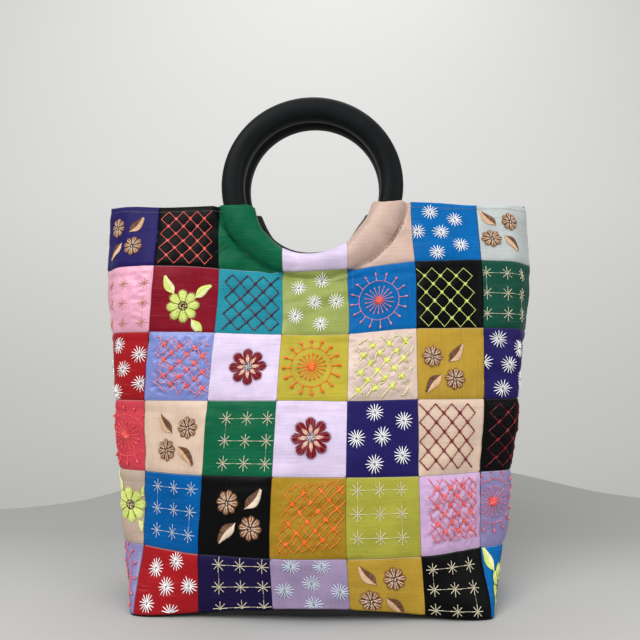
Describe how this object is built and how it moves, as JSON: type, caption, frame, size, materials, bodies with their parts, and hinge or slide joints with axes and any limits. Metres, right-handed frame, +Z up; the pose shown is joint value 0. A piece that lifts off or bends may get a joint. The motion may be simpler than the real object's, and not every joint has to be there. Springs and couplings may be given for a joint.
{
  "type": "embroidered patchwork handbag with ring handles",
  "caption": "Soft patchwork handbag with embroidered squares, round ring handles held in casings at the mouth, and a dark base.",
  "frame": {"origin": "centre of the bounding box on the surface that the bag stands on", "axes": "+Z up, the embroidered front faces -Y, +X to the right seen from the front"},
  "size_m": [0.3676, 0.1314, 0.417],
  "materials": {
    "patchwork_silk": "slubbed satin silk patches in many colours, with thread embroidery",
    "black_cloth": "plain black cloth",
    "black_lacquer": "satin black lacquer"
  },
  "bodies": {
    "root": {"front_panel": "patchwork_silk", "back_panel": "patchwork_silk", "side_left": "patchwork_silk", "side_right": "patchwork_silk", "casing_front": "patchwork_silk", "casing_back": "patchwork_silk", "base_panel": "black_cloth", "handle_front": "black_lacquer", "handle_back": "black_lacquer"}
  },
  "joints": []
}
